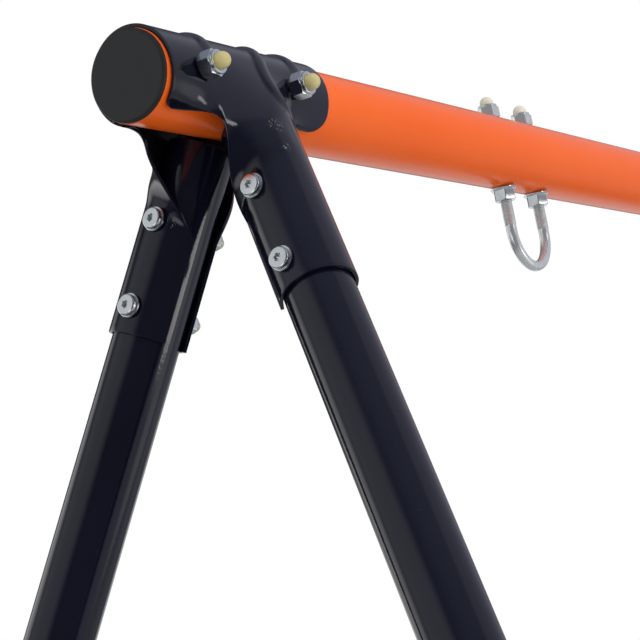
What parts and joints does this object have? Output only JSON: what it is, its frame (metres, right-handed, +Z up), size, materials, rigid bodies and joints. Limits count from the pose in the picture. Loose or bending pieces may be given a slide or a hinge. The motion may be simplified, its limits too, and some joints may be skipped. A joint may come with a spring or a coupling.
{
  "type": "a-frame swing set",
  "caption": "Free-standing A-frame swing frame: a round orange crossbeam on splayed tube legs, joined by pressed saddle brackets, with U-bolt hangers under the beam.",
  "frame": {"origin": "on the ground under the middle of the crossbeam, at the bottom centre of the bounding box", "axes": "+Z up, +X along the crossbeam towards the right end, +Y to the back; the pictured end is at -X"},
  "size_m": [3.1278, 1.5316, 1.8508],
  "materials": {
    "beam_paint": "gloss orange powder paint",
    "frame_paint": "gloss dark navy powder paint",
    "zinc": "bright zinc plating",
    "cap_plastic": "matte black moulded plastic",
    "foot_plastic": "matte black moulded plastic"
  },
  "bodies": {
    "root": {"beam_bolt_left_inner": "zinc", "beam_bolt_left_outer": "zinc", "beam_bolt_right_inner": "zinc", "beam_bolt_right_outer": "zinc", "beam_nut_left_inner": "zinc", "beam_nut_left_outer": "zinc", "beam_nut_right_inner": "zinc", "beam_nut_right_outer": "zinc", "crossbar_left": "frame_paint", "crossbar_right": "frame_paint", "crossbeam": "beam_paint", "end_cap_left": "cap_plastic", "end_cap_right": "cap_plastic", "foot_left_back": "foot_plastic", "foot_left_front": "foot_plastic", "foot_right_back": "foot_plastic", "foot_right_front": "foot_plastic", "hanger_flange_nut_left_inner": "zinc", "hanger_flange_nut_left_outer": "zinc", "hanger_flange_nut_right_inner": "zinc", "hanger_flange_nut_right_outer": "zinc", "hanger_lock_nut_left_inner": "zinc", "hanger_lock_nut_left_outer": "zinc", "hanger_lock_nut_right_inner": "zinc", "hanger_lock_nut_right_outer": "zinc", "joint_bolt_left_back": "zinc", "joint_bolt_left_front": "zinc", "joint_bolt_right_back": "zinc", "joint_bolt_right_front": "zinc", "leg_bolt_left_back_lower": "zinc", "leg_bolt_left_back_upper": "zinc", "leg_bolt_left_front_lower": "zinc", "leg_bolt_left_front_upper": "zinc", "leg_bolt_right_back_lower": "zinc", "leg_bolt_right_back_upper": "zinc", "leg_bolt_right_front_lower": "zinc", "leg_bolt_right_front_upper": "zinc", "leg_nut_left_back_lower": "zinc", "leg_nut_left_back_upper": "zinc", "leg_nut_left_front_lower": "zinc", "leg_nut_left_front_upper": "zinc", "leg_nut_right_back_lower": "zinc", "leg_nut_right_back_upper": "zinc", "leg_nut_right_front_lower": "zinc", "leg_nut_right_front_upper": "zinc", "lower_leg_left_back": "frame_paint", "lower_leg_left_front": "frame_paint", "lower_leg_right_back": "frame_paint", "lower_leg_right_front": "frame_paint", "saddle_bracket_left": "frame_paint", "saddle_bracket_right": "frame_paint", "u_bolt_left": "zinc", "u_bolt_right": "zinc", "upper_leg_left_back": "frame_paint", "upper_leg_left_front": "frame_paint", "upper_leg_right_back": "frame_paint", "upper_leg_right_front": "frame_paint"}
  },
  "joints": []
}
